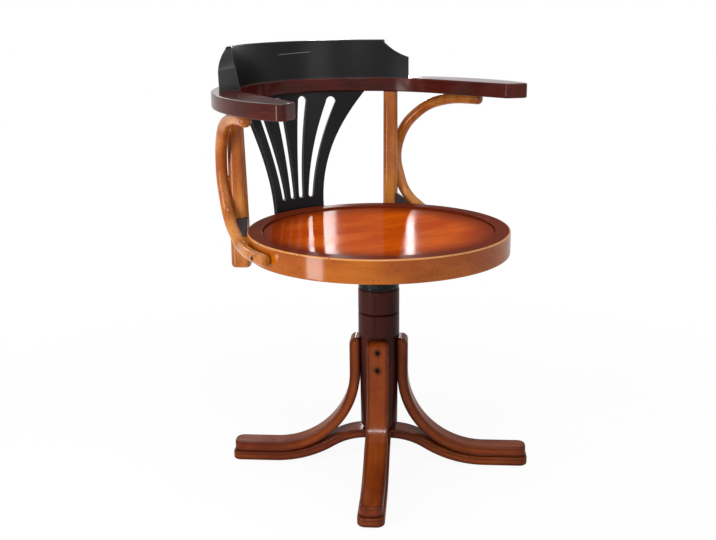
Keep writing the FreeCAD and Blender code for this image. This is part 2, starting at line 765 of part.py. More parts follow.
def brace_blank():
    hug_r = RING_R + BRACE_ROD_R - BRACE_BITE
    middle = (BRACE_START + BRACE_LEAVES) / 2
    hug = Part.Arc(from_back(hug_r, BRACE_START, RING_MID), from_back(hug_r, middle, RING_MID),
                   from_back(hug_r, BRACE_LEAVES, RING_MID)).toShape()
    path = bent_path(brace_route(), hug)
    start = from_back(hug_r, BRACE_START, RING_MID)
    circle = Part.Wire([Part.makeCircle(BRACE_ROD_R, start, from_back(1, BRACE_START - 90))])
    brace = path.makePipeShell([circle], True, False)
    expected = math.pi * BRACE_ROD_R ** 2 * path.Length
    print("brace volume against section times length", round(brace.Volume / expected, 4))
    return brace.makeFillet(BRACE_END_ROUND, edges_where(brace, lambda edge: end_circle(edge, path)))


def end_circle(edge, path):
    """True for the two circles where the rod ends."""
    tips = [path.OrderedVertexes[0].Point, path.OrderedVertexes[-1].Point]
    return any((edge.CenterOfMass - tip).Length < 1e-2 for tip in tips)


def brace_screw_places():
    """Where each screw's head starts and which way it goes: ring, post and rail."""
    route = brace_route()
    sink = BRACE_ROD_R - BRACE_SCREW_SINK + BRACE_SCREW_HEAD_H
    out = from_back(1, BRACE_SCREW_RING_AT)
    hug_r = RING_R + BRACE_ROD_R - BRACE_BITE
    ring_at = from_back(hug_r + sink, BRACE_SCREW_RING_AT, RING_MID)
    post_out = from_back(1, POST_ANGLE)
    post_at = brace_crossing() + post_out * sink
    back = (route[-2] - route[-1]).normalize()
    rail_at = route[-1] + back * BRACE_SCREW_RAIL_BACK - UP * sink
    return [(ring_at, -out), (post_at, -post_out), (rail_at, UP)]


def brace_screws():
    return both_sides([headed(BRACE_SCREW_HEAD_R, BRACE_SCREW_HEAD_H, BRACE_SCREW_R,
                              BRACE_SCREW_L, at, inwards)
                       for at, inwards in brace_screw_places()])


def brace_screw_mouths():
    """The holes over the sunk heads, drilled from outside."""
    return both_sides([rod(BRACE_SCREW_HEAD_R, at - inwards * BRACE_ROD_R, inwards, BRACE_ROD_R)
                       for at, inwards in brace_screw_places()])


def brace_crossing():
    """The rod's middle where it lies against the post."""
    z = RING_MID + (RAIL_BOTTOM - RING_MID) * BRACE_SHARES[1]
    face = post_centre_r(z) + post_radial(z) / 2
    return from_back(face + BRACE_ROD_R - BRACE_BITE, POST_ANGLE, z)


def post_radial(z):
    """The post's depth at a height."""
    low = RING_BOTTOM - POST_TAIL
    share = (z - low) / (RAIL_BOTTOM - low)
    return POST_LOW_RADIAL + (POST_HIGH_RADIAL - POST_LOW_RADIAL) * share


def braces():
    left = brace_blank().cut(ring_solid()).cut(post_blank())
    left = left.cut(rod(2 * RING_R, Vector(0, 0, RAIL_BOTTOM), UP, RAIL_H))
    return [cut_by(blank, brace_screws() + brace_screw_mouths()) for blank in (left, mirrored(left))]


def brace_blocks():
    """A small wedge that fills the corner between post, ring and brace."""
    side = BLOCK_LAP - POST_LOW_TANGENT / 2
    low = RING_TOP - BLOCK_DROP
    inside = RING_R - BLOCK_LAP
    corners = [Vector(inside, side, low), Vector(inside, side, RING_TOP + BLOCK_RISE),
               Vector(inside, side - BLOCK_RUN, low)]
    block = Part.Face(Part.makePolygon(corners + corners[:1])).extrude(Vector(BLOCK_DEPTH + BLOCK_LAP, 0, 0))
    block = turned_about_z(block, 90 - POST_ANGLE)
    left = cut_by(block, [ring_solid(), post_blank(), brace_blank()])
    left = max(left.Solids, key=lambda solid: solid.Volume)
    return [left, mirrored(left)]


def ring_plugs():
    """A round-topped button on the ring's side in front of each brace."""
    out = from_back(1, PLUG_ANGLE)
    z = RING_BOTTOM + PLUG_UP
    shank = rod(PLUG_SHANK_R, from_back(RING_R - PLUG_SHANK_L, PLUG_ANGLE, z), out, PLUG_SHANK_L)
    ball_r = (PLUG_R ** 2 + PLUG_DOME ** 2) / (2 * PLUG_DOME)
    ball = Part.makeSphere(ball_r, from_back(RING_R + PLUG_DOME - ball_r, PLUG_ANGLE, z))
    face_at = from_back(RING_R - PLUG_BITE, PLUG_ANGLE, z)
    dome = ball.common(rod(PLUG_R, face_at, out, PLUG_DOME * 2))
    return both_sides([joined(shank, dome)])


# Splat

def splat_placed(shape):
    """Leans a shape back and stands it behind the ring; the sheet's own foot is at z = 0."""
    shape.translate(Vector(0, -SPLAT_CURVE_R, 0))
    shape.rotate(ORIGIN, Vector(1, 0, 0), -SPLAT_LEAN)
    shape.translate(Vector(0, RING_R + SPLAT_GAP, SPLAT_FOOT))
    return shape


def bent_cutter(start, steps):
    """A flat outline wrapped on the board's curve, with walls square to the board."""
    wires = []
    for plane in (SPLAT_CURVE_R / 2, SPLAT_CURVE_R * 1.5):
        def wrapped(point):
            return Vector(plane * math.tan(point.x / SPLAT_CURVE_R), plane, point.z - SPLAT_FOOT)

        wires.append(outline(wrapped(start), [tuple(wrapped(point) for point in step) for step in steps]))
    return Part.makeLoft(wires, True, True)


def splat_slot(route):
    """A slot that widens upwards, with curved sides and round ends, at +X."""
    centres = [section(x, RING_TOP + up) for x, up in route]
    half_low = SLOT_LOW_W / 2
    half_high = SLOT_HIGH_W / 2
    half_mid = (half_low + half_high) / 2
    sides = {}
    for sign in (-1, 1):
        sides[sign] = [centre + Vector(sign * half, 0, 0)
                       for centre, half in zip(centres, (half_low, half_mid, half_high))]
    low_end = centres[0] - Vector(0, 0, half_low)
    high_end = centres[2] + Vector(0, 0, half_high)
    steps = [(sides[1][1], sides[1][2]), (high_end, sides[-1][2]),
             (sides[-1][1], sides[-1][0]), (low_end, sides[1][0])]
    return bent_cutter(sides[1][0], steps)


def splat_board():
    """The board at its full height, without its slots, in the sheet's own place."""
    top = RAIL_BOTTOM + SPLAT_IN_RAIL
    flare_half = math.asin((top - RING_TOP) / SPLAT_FLARE_R)
    flares = {}
    for sign in (-1, 1):
        flares[sign] = [section(sign * (SPLAT_HALF_W + SPLAT_FLARE_R * (1 - math.cos(turn))),
                                RING_TOP + SPLAT_FLARE_R * math.sin(turn))
                        for turn in (0, flare_half / 2, flare_half)]
    steps = [(flares[1][0],), (flares[1][1], flares[1][2]), (flares[-1][2],),
             (flares[-1][1], flares[-1][0]), (section(-SPLAT_HALF_W, SPLAT_FOOT),)]
    sheet = tube(SPLAT_CURVE_R + SPLAT_T, SPLAT_CURVE_R, 0, top - SPLAT_FOOT)
    return sheet.common(bent_cutter(section(SPLAT_HALF_W, SPLAT_FOOT), steps))


def splat():
    slots = both_sides([splat_slot(route) for route in SLOT_ROUTES])
    return splat_placed(cut_by(splat_board(), slots)).cut(group(splat_screws()))


def splat_spacer():
    """The block between the ring's back and the splat's foot, below the ring's top."""
    height = RING_H - SPLAT_FOOT_UP - SPACER_BELOW_RING
    box = Part.makeBox(SPACER_W, 2 * RING_R, height, Vector(-SPACER_W / 2, 0, SPLAT_FOOT))
    inside = splat_placed(rod(SPLAT_CURVE_R, Vector(0, 0, -RING_H), UP, 3 * RING_H))
    return cut_by(box.common(inside).cut(ring_solid()), splat_screws())


def splat_screws():
    """Two screws through the splat's foot and the spacer into the ring's back."""
    back_r = SPLAT_CURVE_R + SPLAT_T
    rise = SPLAT_SCREW_UP - SPLAT_FOOT_UP
    y = RING_R + SPLAT_GAP + rise * math.tan(math.radians(SPLAT_LEAN))
    y += math.sqrt(back_r ** 2 - SPLAT_SCREW_X ** 2) - SPLAT_CURVE_R + SPLAT_SCREW_PROUD
    at = Vector(SPLAT_SCREW_X, y, RING_BOTTOM + SPLAT_SCREW_UP)
    return both_sides([headed(SPLAT_SCREW_HEAD_R, SPLAT_SCREW_HEAD_H, WOOD_SCREW_SHANK_R,
                              SPLAT_SCREW_L, at, Vector(0, -1, 0))])


# Arm rail and crest

def rail_blank():
    """The hoop's plan, from tangent arcs, raised to its thickness with soft arrises."""
    centre = Vector(0, RAIL_CENTRE_Y, RAIL_BOTTOM)
    inner_end = centre + from_back(RAIL_INNER_R, RAIL_INNER_TURN)
    inner_tip = inner_end + from_back(RAIL_INNER_RUN, RAIL_INNER_TURN + 90)
    back_end = centre + from_back(RAIL_BACK_R, RAIL_BACK_TURN)
    side_centre = centre + from_back(RAIL_BACK_R - RAIL_SIDE_R, RAIL_BACK_TURN)
    side_mid = side_centre + from_back(RAIL_SIDE_R, (RAIL_BACK_TURN + 90) / 2)
    side_end = side_centre + from_back(RAIL_SIDE_R, 90)
    tip_centre = side_end - Vector(RAIL_TIP_R, 0, 0)
    tip_turn = math.degrees(math.asin(RAIL_TIP_DROP / RAIL_TIP_R))
    tip_mid = tip_centre + from_back(RAIL_TIP_R, 90 + tip_turn / 2)
    tip_end = tip_centre + from_back(RAIL_TIP_R, 90 + tip_turn)
    left = [inner_tip, inner_end, back_end, side_mid, side_end, tip_mid, tip_end]
    flip = [Vector(-point.x, point.y, point.z) for point in left]
    steps = [(left[1],), (centre + from_back(RAIL_INNER_R, 0), flip[1]), (flip[0],), (flip[6],),
             (flip[5], flip[4]), (flip[3], flip[2]), (centre + from_back(RAIL_BACK_R, 0), left[2]),
             (left[3], left[4]), (left[5], left[6])]
    hoop = Part.Face(outline(left[0], steps)).extrude(UP * RAIL_H)
    for point, radius in ((inner_tip, RAIL_INNER_CORNER_R), (tip_end, RAIL_OUTER_CORNER_R)):
        corners = edges_where(hoop, lambda edge: upright_at(edge, point))
        hoop = hoop.makeFillet(radius, corners)
    flat = edges_where(hoop, lambda edge: edge.BoundBox.ZLength < 1e-3)
    return hoop.makeFillet(RAIL_ARRIS, flat)


def upright_at(edge, point):
    """True for a vertical edge over a plan point or its mirror image."""
    middle = edge.CenterOfMass
    near = math.hypot(abs(middle.x) - abs(point.x), middle.y - point.y) < 1e-3
    return near and edge.BoundBox.ZLength > RAIL_H / 2


def arm_rail():
    tenon = turned_about_z(rod(TENON_R, Vector(POST_TOP_R, 0, RAIL_BOTTOM), UP, TENON_H), 90 - POST_ANGLE)
    tools = both_sides([tenon]) + crest_dowels() + brace_screws() + [splat_placed(splat_board())]
    return cut_by(rail_blank(), tools)


def crest_blank():
    """The board's section swept round the rail's centre from shoulder to shoulder."""
    face_r = RAIL_INNER_R + CREST_INSET
    top_face_r = face_r + CREST_FACE_LEAN
    back_top_r = face_r + CREST_TOP_BACK
    low_top = CREST_TOP - CREST_TOP_ROUND
    belly = section(face_r + CREST_BELLY[0], RAIL_TOP + CREST_BELLY[1])
    back_mid = section(face_r + CREST_BACK_MID[0], RAIL_TOP + CREST_BACK_MID[1])
    steps = [(section(face_r + CREST_FOOT_T, RAIL_TOP),),
             (belly,),
             (back_mid, section(back_top_r, low_top)),
             (corner_mid(back_top_r - CREST_TOP_ROUND, low_top, CREST_TOP_ROUND, 45),
              section(back_top_r - CREST_TOP_ROUND, CREST_TOP)),
             (section(top_face_r + CREST_TOP_ROUND, CREST_TOP),),
             (corner_mid(top_face_r + CREST_TOP_ROUND, low_top, CREST_TOP_ROUND, 135),
              section(top_face_r, low_top))]
    face = Part.Face(outline(section(face_r, RAIL_TOP), steps))
    board = face.revolve(ORIGIN, UP, 2 * CREST_TURN)
    board.rotate(ORIGIN, UP, 90 - CREST_TURN)
    board.translate(Vector(0, RAIL_CENTRE_Y, 0))
    return board


def shoulder_cutter():
    """Takes off the crest's left shoulder: a scooped line that falls to the end and outwards."""
    out = from_back(1, CREST_TURN)
    along = from_back(1, CREST_TURN - 90)
    start = Vector(0, RAIL_CENTRE_Y, 0) + out * (RAIL_INNER_R + CREST_INSET)
    low = CREST_TOP - SHOULDER_DROP
    clear = SHOULDER_RUN * 2

    def place(run, z):
        return start + along * run + UP * z

    middle = place(SHOULDER_RUN / 2, low + SHOULDER_DROP / 2 - SHOULDER_SAG)
    profile = outline(place(-clear, low), [(place(0, low),), (middle, place(SHOULDER_RUN, CREST_TOP)),
                                           (place(SHOULDER_RUN, CREST_TOP + clear),),
                                           (place(-clear, CREST_TOP + clear),)])
    fall = math.radians(SHOULDER_SLOPE)
    way = out * math.cos(fall) - UP * math.sin(fall)
    face = Part.Face(profile)
    face.translate(way * -clear)
    return face.extrude(way * clear * 2)


def end_cutter():
    """Takes the crest's left end off along a line that turns back from the radius."""
    along = from_back(1, CREST_TURN + 90)
    way = from_back(1, CREST_TURN - CREST_END_SKEW)
    reach = CREST_H * 2
    start = Vector(0, RAIL_CENTRE_Y, RAIL_TOP) + from_back(RAIL_INNER_R + CREST_INSET, CREST_TURN)
    corners = [start, start + way * reach, start + (way + along) * reach, start + along * reach]
    return Part.Face(Part.makePolygon(corners + corners[:1])).extrude(UP * reach)


def crest_dowels():
    middle_r = RAIL_INNER_R + CREST_INSET + CREST_FOOT_T / 2
    centre = Vector(0, RAIL_CENTRE_Y, RAIL_TOP - DOWEL_L / 2)
    return [rod(DOWEL_R, centre + from_back(middle_r, angle), UP, DOWEL_L) for angle in DOWEL_ANGLES]


def crest():
    return cut_by(crest_blank(), both_sides([shoulder_cutter(), end_cutter()]) + crest_dowels())


def lower_strip_nodes():
    tools = foot_screws() + foot_screw_mouths() + [base_bolt()]
    return [cut_by(strip, tools) for strip in lower_strips()]


def upper_leg_nodes():
    blank = cut_by(upper_leg_blank(), [counterbore(z) for z in LEG_SCREW_Z])
    screws = leg_screws() + foot_screws()
    return [cut_by(turned_about_z(blank, angle), screws) for angle in LEG_ANGLES]


def all_nodes():
    nodes = {}
    for number, strip in enumerate(lower_strip_nodes(), 1):
        nodes["lower_strip_%d" % number] = strip
    for number, leg in enumerate(upper_leg_nodes(), 1):
        nodes["upper_leg_%d" % number] = leg
    nodes["leg_screws"] = group(leg_screws())
    nodes["foot_screws"] = group(foot_screws())
    nodes["base_bolt"] = base_bolt()
    nodes["column"] = column()
    nodes["set_screw"] = set_screw()
    nodes["collar"] = collar()
    nodes["spindle_socket"] = tube(SOCKET_R, SPINDLE_R, COLUMN_BORE_BOTTOM, COLUMN_TOP)
    nodes["spindle"] = spindle()
    nodes["thrust_washer"] = tube(THRUST_R, SPINDLE_R, COLLAR_TOP, THRUST_TOP)
    nodes["spindle_washer"] = tube(NUT_WASHER_R, STUB_R, SHOULDER_Z, NUT_BOTTOM)
    nodes["spindle_nut"] = spindle_nut()
    nodes["hub_bush"] = tube(BUSH_R, BUSH_BORE_R, FLANGE_BOTTOM, HUB_TOP)
    nodes["hub"] = hub()
    nodes["hub_cover"] = hub_cover()
    nodes["hub_bolts"] = group(hub_bolts())
    nodes["seat_plate"] = seat_plate()
    nodes["plate_screws"] = group(plate_screws())
    nodes["bearer_left"], nodes["bearer_right"] = bearers()
    nodes["bearer_screws"] = group(bearer_screws())
    nodes["seat_ring"] = seat_ring()
    nodes["seat_panel"] = seat_panel()
    nodes["post_left"], nodes["post_right"] = posts()
    nodes["post_bolts"] = group(post_bolts())
    nodes["brace_left"], nodes["brace_right"] = braces()
    nodes["brace_block_left"], nodes["brace_block_right"] = brace_blocks()
    nodes["brace_screws"] = group(brace_screws())
    nodes["ring_plugs"] = group(ring_plugs())
    nodes["splat"] = splat()
    nodes["splat_spacer"] = splat_spacer()
    nodes["splat_screws"] = group(splat_screws())
    nodes["arm_rail"] = arm_rail()
    nodes["crest"] = crest()
    nodes["crest_dowels"] = group(crest_dowels())
    return nodes


os.makedirs("parts", exist_ok=True)
for name, shape in all_nodes().items():
    print(name, "solids", len(shape.Solids), "valid", shape.isValid(), "volume", round(shape.Volume))
    shape.exportStep("parts/%s.step" % name)
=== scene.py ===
import math

import bmesh
import bpy
from mathutils import Matrix, Vector

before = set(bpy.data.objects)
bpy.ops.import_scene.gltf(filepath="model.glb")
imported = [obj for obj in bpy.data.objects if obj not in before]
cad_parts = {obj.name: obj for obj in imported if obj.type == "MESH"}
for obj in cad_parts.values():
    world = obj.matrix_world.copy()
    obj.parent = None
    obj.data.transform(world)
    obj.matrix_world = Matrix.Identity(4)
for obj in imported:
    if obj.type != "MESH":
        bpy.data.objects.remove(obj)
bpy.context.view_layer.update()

# Feet. Two arched strips cross under the column and four bent strips stand on them, all steamed
# beech, stained red-brown and lacquered, with painted shade darkening them along their edges. They
# are screwed together from below and to the column from outside.
FEET_MID = "#68290F"
FEET_LIGHT = "#863E16"
FEET_DARK = "#220D08"
FOOT_AZIMUTH = 2.4 - 135
# The bend that every upper strip is steamed round: its centre from the column's axis and from the
# floor, and the radius of the strip's middle, in metres
BEND_OUT = 0.2053
BEND_UP = 0.186
BEND_R = 0.16
# Fibres are drawn about three times their real width, so that they show, and 28 times as long
FIBRE_MM = 2.0
FIBRE_NOISE = 0.35
FIBRE_LENGTH = 28
FIBRE_FROM = 0.46
FIBRE_TO = 0.76
# Clouds of stain per metre: about 140 mm apart along the fibres and 60 mm across them
CLOUDS_PER_METRE = (7.0, 16.0, 16.0)
CLOUD_FROM = 0.36
CLOUD_TO = 0.66
# Dents of the distressed finish, 2 to 3 mm long
DENTS_PER_METRE = 230.0
DENT_FROM = 0.665
DENT_TO = 0.705
# How far the normal has turned where an arris mark begins and where it is full
ARRIS_FROM = 0.9995
ARRIS_TO = 0.93
# The lacquer lies unevenly over the clouds, so its gloss wavers by this much
GLOSS_BELOW = 0.04
GLOSS_ABOVE = 0.05
LACQUER_IOR = 1.5
LACQUER_ROUGHNESS = 0.12
WOOD_IOR = 1.48


def linear(hex_colour):
    """An sRGB hex colour as linear red, green, blue and alpha."""
    values = []
    for start in (1, 3, 5):
        channel = int(hex_colour[start:start + 2], 16) / 255
        low = channel / 12.92
        high = ((channel + 0.055) / 1.055) ** 2.4
        values.append(low if channel <= 0.04045 else high)
    return (*values, 1.0)


def add(tree, kind, inputs=None, **settings):
    """Adds one node with its settings; an input is a value or another node's socket."""
    node = tree.nodes.new("ShaderNode" + kind)
    for name, value in settings.items():
        setattr(node, name, value)
    for name, value in (inputs or {}).items():
        if isinstance(value, bpy.types.NodeSocket):
            tree.links.new(value, node.inputs[name])
        else:
            node.inputs[name].default_value = value
    return node


def worked_out(tree, operation, first, second=0.0):
    """The result of one Math node on two numbers or sockets."""
    return add(tree, "Math", {0: first, 1: second}, operation=operation).outputs[0]


def new_material(name):
    material = bpy.data.materials.new(name)
    material.use_nodes = True
    material.node_tree.nodes.clear()
    return material, material.node_tree


def finish_material(tree, shader):
    output = add(tree, "OutputMaterial")
    tree.links.new(shader.outputs[0], output.inputs["Surface"])


def mixed(tree, factor, first, second):
    """One colour over another; the factor and the colours are sockets or values."""
    node = add(tree, "Mix", data_type="RGBA")
    for index, value in ((0, factor), (6, first), (7, second)):
        if isinstance(value, bpy.types.NodeSocket):
            tree.links.new(value, node.inputs[index])
        else:
            node.inputs[index].default_value = value
    return node.outputs[2]


def fade(tree, value, low, high):
    """0 below low, 1 above high, smooth between."""
    node = add(tree, "MapRange", {"Value": value, "From Min": low, "From Max": high},
               interpolation_type="SMOOTHSTEP")
    return node.outputs["Result"]


def straight_grain(run=(0, 0, 0)):
    """Object coordinates turned so that X runs along the fibres."""

    def build(tree):
        place = add(tree, "TexCoord").outputs["Object"]
        return add(tree, "Mapping", {"Vector": place, "Rotation": run}).outputs["Vector"]

    return build


def hoop_grain(centre, radius):
    """Fibres that run round a hoop seen in plan."""

    def build(tree):
        place = add(tree, "TexCoord").outputs["Object"]
        moved = add(tree, "VectorMath", {0: place, 1: (*centre, 0)}, operation="SUBTRACT").outputs[0]
        parts = add(tree, "SeparateXYZ", {"Vector": moved}).outputs
        back = worked_out(tree, "MULTIPLY", parts["Y"], -1.0)
        angle = worked_out(tree, "ARCTAN2", parts["X"], back)
        along = worked_out(tree, "MULTIPLY", angle, radius)
        flat = add(tree, "VectorMath", {0: moved, 1: (1, 1, 0)}, operation="MULTIPLY").outputs[0]
        out = add(tree, "VectorMath", {0: flat}, operation="LENGTH").outputs["Value"]
        return add(tree, "CombineXYZ", {"X": along, "Y": out, "Z": parts["Z"]}).outputs[0]

    return build


def bent_leg_grain(azimuth):
    """Fibres that come down beside the column, turn through the bend and run out to the foot."""

    def build(tree):
        place = add(tree, "TexCoord").outputs["Object"]
        turned = add(tree, "Mapping", {"Vector": place, "Rotation": (0, 0, -azimuth)})
        parts = add(tree, "SeparateXYZ", {"Vector": turned.outputs["Vector"]}).outputs
        out = worked_out(tree, "SUBTRACT", parts["X"], BEND_OUT)
        up = worked_out(tree, "SUBTRACT", parts["Z"], BEND_UP)
        inward = worked_out(tree, "MINIMUM", out, 0.0)
        downward = worked_out(tree, "MINIMUM", up, 0.0)
        turn = worked_out(tree, "ARCTAN2", worked_out(tree, "MULTIPLY", inward, -1.0),
                      worked_out(tree, "MULTIPLY", downward, -1.0))
        bend = worked_out(tree, "MULTIPLY", turn, BEND_R)
        above = worked_out(tree, "MAXIMUM", up, 0.0)
        beyond = worked_out(tree, "MAXIMUM", out, 0.0)
        along = worked_out(tree, "SUBTRACT", worked_out(tree, "ADD", bend, above), beyond)
        flat = add(tree, "CombineXYZ", {"X": inward, "Y": downward, "Z": 0.0}).outputs[0]
        depth = add(tree, "VectorMath", {0: flat}, operation="LENGTH").outputs["Value"]
        return add(tree, "CombineXYZ", {"X": along, "Y": parts["Y"], "Z": depth}).outputs[0]

    return build


def arris_mask(tree, reach):
    """1 on a piece's arrises, 0 on its faces: the normal turns within the reach in metres."""
    soft = add(tree, "Bevel", {"Radius": reach}, samples=6).outputs[0]
    sharp = add(tree, "NewGeometry").outputs["Normal"]
    same = add(tree, "VectorMath", {0: soft, 1: sharp}, operation="DOT_PRODUCT").outputs["Value"]
    return add(tree, "MapRange", {"Value": same, "From Min": ARRIS_FROM, "From Max": ARRIS_TO},
               interpolation_type="SMOOTHSTEP").outputs["Result"]


def stained_wood(name, mid, light, dark, grain, fibre_share=0.45, gloss=0.26,
                 specular=0.1, coat=0.3, edge_mm=3.5, edge_share=0.75, specks=0.0, tint=None):
    """Lacquered beech: long fibres, a cloudy stain and painted shade that darkens the arrises to the
    dark tone.

    grain gives the space that the fibres run in, and coat is a share or gives one, as tint does
    for the colour.
    """
    material, tree = new_material(name)
    space = grain(tree)
    across = 1000.0 / FIBRE_MM
    stretched = add(tree, "Mapping", {"Vector": space,
                                      "Scale": (across / FIBRE_LENGTH, across, across)})
    fibres = add(tree, "TexNoise", {"Vector": stretched.outputs[0], "Scale": FIBRE_NOISE,
                                    "Detail": 4.0, "Roughness": 0.62}).outputs["Fac"]
    cloud_space = add(tree, "Mapping", {"Vector": space, "Scale": CLOUDS_PER_METRE})
    clouds = add(tree, "TexNoise", {"Vector": cloud_space.outputs[0], "Scale": 1.0, "Detail": 3.0,
                                    "Roughness": 0.55}).outputs["Fac"]
    colour = mixed(tree, fade(tree, clouds, CLOUD_FROM, CLOUD_TO), linear(mid), linear(light))
    streaks = worked_out(tree, "MULTIPLY", fade(tree, fibres, FIBRE_FROM, FIBRE_TO), fibre_share)
    colour = mixed(tree, streaks, colour, linear(dark))
    if tint is not None:
        colour = tint(tree, colour)
    if specks:
        dents = add(tree, "TexNoise", {"Vector": space, "Scale": DENTS_PER_METRE,
                                       "Detail": 1.0}).outputs["Fac"]
        shown = worked_out(tree, "MULTIPLY", fade(tree, dents, DENT_FROM, DENT_TO), specks)
        colour = mixed(tree, shown, colour, linear(dark))
    # Painted shade: the arrises are darkened towards the dark tone.
    edge_shade = worked_out(tree, "MULTIPLY", arris_mask(tree, edge_mm / 1000), edge_share)
    colour = mixed(tree, edge_shade, colour, linear(dark))
    smooth = add(tree, "MapRange", {"Value": clouds, "From Min": 0.3, "From Max": 0.7,
                                    "To Min": gloss - GLOSS_BELOW, "To Max": gloss + GLOSS_ABOVE})
    relief = add(tree, "Bump", {"Height": fibres, "Strength": 0.05, "Distance": 0.0005})
    coat_weight = coat(tree) if callable(coat) else coat
    shader = add(tree, "BsdfPrincipled",
                 {"Base Color": colour, "Roughness": smooth.outputs["Result"], "IOR": WOOD_IOR,
                  "Specular IOR Level": specular, "Coat Weight": coat_weight,
                  "Coat Roughness": LACQUER_ROUGHNESS, "Coat IOR": LACQUER_IOR,
                  "Normal": relief.outputs["Normal"]})
    finish_material(tree, shader)
    return material


def dress(node, material):
    """Gives a carried-over node its finish."""
    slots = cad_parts[node].material_slots
    for slot in slots:
        slot.material = material
    if not slots:
        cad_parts[node].data.materials.append(material)


def foot_finish(name, grain):
    return stained_wood(name, FEET_MID, FEET_LIGHT, FEET_DARK, grain, fibre_share=0.4, gloss=0.24,
                        specular=0.005, coat=0.2, edge_mm=12.0, edge_share=0.95, specks=0.3)


for number in range(4):
    azimuth = math.radians(FOOT_AZIMUTH + 90 * number)
    upper_wood = foot_finish("stained_beech_leg_%d" % (number + 1), bent_leg_grain(azimuth))
    dress("upper_leg_%d" % (number + 1), upper_wood)
    if number < 2:
        lower_wood = foot_finish("stained_beech_foot_%d" % (number + 1),
                                 straight_grain((0, 0, -azimuth)))
        dress("lower_strip_%d" % (number + 1), lower_wood)

# Column. A turned beech post, stained nearly black-brown, with a thicker head, a turned groove
# and a rounded foot; the four upper strips are let into flats on its lower half.
COLUMN_MID = "#2C0F0C"
COLUMN_LIGHT = "#431912"
COLUMN_DARK = "#0C0505"
UPRIGHT = (0, math.pi / 2, 0)
column_wood = stained_wood("stained_beech_column", COLUMN_MID, COLUMN_LIGHT, COLUMN_DARK,
                           straight_grain(UPRIGHT), gloss=0.4, specular=0.06, coat=0.08,
                           edge_share=0.6, specks=0.2)
dress("column", column_wood)

# Seat ring. One strip of beech bent round to a ring, rebated for the panel. Its side is stained
# honey, glossy and distressed with small dents; its top is duller and stained mahogany.
RING_MID = "#924406"
RING_LIGHT = "#AA5A0C"
RING_DARK = "#4A2208"
RING_TOP = "#6A2A16"
RING_ARRIS_HIGHLIGHT = "#C98A4C"
RING_OUTSIDE_R = 0.247
RING_GRAIN_R = 0.24
RING_TOP_Z = 0.469
RING_ARRIS = 0.0022
RING_LACQUER = 0.55


def ring_out(tree):
    """How far from the column's axis a point is."""
    place = add(tree, "TexCoord").outputs["Object"]
    flat = add(tree, "VectorMath", {0: place, 1: (1, 1, 0)}, operation="MULTIPLY").outputs[0]
    return add(tree, "VectorMath", {0: flat}, operation="LENGTH").outputs["Value"]


def ring_side_share(tree):
    """1 on the ring's honey side, 0 on its mahogany top."""
    return fade(tree, ring_out(tree), RING_OUTSIDE_R - 1.6 * RING_ARRIS,
                RING_OUTSIDE_R - 0.7 * RING_ARRIS)


def ring_top_tint(tree, colour):
    """The mahogany stain inside the outer arris, and a painted highlight: a pale honey line along
    that arris.
    """
    colour = mixed(tree, ring_side_share(tree), linear(RING_TOP), colour)
    place = add(tree, "TexCoord").outputs["Object"]
    height = add(tree, "SeparateXYZ", {"Vector": place}).outputs["Z"]
    # Painted highlight: the top outer arris is lightened to pale honey.
    high = fade(tree, height, RING_TOP_Z - 1.3 * RING_ARRIS, RING_TOP_Z - 0.9 * RING_ARRIS)
    arris = worked_out(tree, "MULTIPLY", high, ring_side_share(tree))
    return mixed(tree, arris, colour, linear(RING_ARRIS_HIGHLIGHT))


def ring_coat(tree):
    """The lacquer is kept glossy on the side and rubbed dull on the top."""
    return worked_out(tree, "MULTIPLY", ring_side_share(tree), RING_LACQUER)


ring_wood = stained_wood("stained_beech_ring", RING_MID, RING_LIGHT, RING_DARK,
                         hoop_grain((0, 0), RING_GRAIN_R), fibre_share=0.3, gloss=0.24,
                         specular=0.001, coat=ring_coat, edge_mm=1.5, edge_share=0.3,
                         specks=0.6, tint=ring_top_tint)
dress("seat_ring", ring_wood)

# Seat panel. Thin plywood pressed to a shallow dish and faced with veneer whose grain runs from
# side to side; stained orange-brown, darker to the rim, under a thin lacquer.
PANEL_MID = "#B84608"
PANEL_LIGHT = "#CC5A0C"
PANEL_DARK = "#6E220C"
PANEL_RIM = "#74280E"
PANEL_FADE_FROM = 0.14
PANEL_FADE_TO = 0.225


def panel_rim_tint(tree, colour):
    """The panel turns darker from its middle to its rim."""
    return mixed(tree, fade(tree, ring_out(tree), PANEL_FADE_FROM, PANEL_FADE_TO), colour,
                 linear(PANEL_RIM))


panel_wood = stained_wood("veneered_panel", PANEL_MID, PANEL_LIGHT, PANEL_DARK, straight_grain(),
                          fibre_share=0.3, gloss=0.09, specular=0.001, coat=0.0, edge_mm=1.0,
                          edge_share=0.3, tint=panel_rim_tint)
dress("seat_panel", panel_wood)

# Posts and braces. Bent and turned beech in the ring's honey stain, with painted shade darkening
# their arrises; the posts are bolted to the ring and the braces screwed on.
POST_MID = "#9C5018"
POST_LIGHT = "#C27C38"
POST_DARK = "#42180A"
post_wood = stained_wood("stained_beech_post", POST_MID, POST_LIGHT, POST_DARK,
                         straight_grain(UPRIGHT), fibre_share=0.35, gloss=0.24, specular=0.05,
                         coat=0.4, edge_mm=4.5, edge_share=0.6, specks=0.4)
for node in ("post_left", "post_right", "brace_left", "brace_right", "ring_plugs"):
    dress(node, post_wood)

# Arm rail. One hoop of beech, stained dark mahogany, that makes both arms and the back.
RAIL_MID = "#3A130D"
RAIL_LIGHT = "#501B12"
RAIL_DARK = "#1C0A08"
HOOP_CENTRE = (0, 0.055)
HOOP_GRAIN_R = 0.245
rail_wood = stained_wood("stained_beech_rail", RAIL_MID, RAIL_LIGHT, RAIL_DARK,
                         hoop_grain(HOOP_CENTRE, HOOP_GRAIN_R), fibre_share=0.5, gloss=0.2,
                         specular=0.03, coat=0.25, edge_mm=3.0, edge_share=0.6, specks=0.15)
dress("arm_rail", rail_wood)
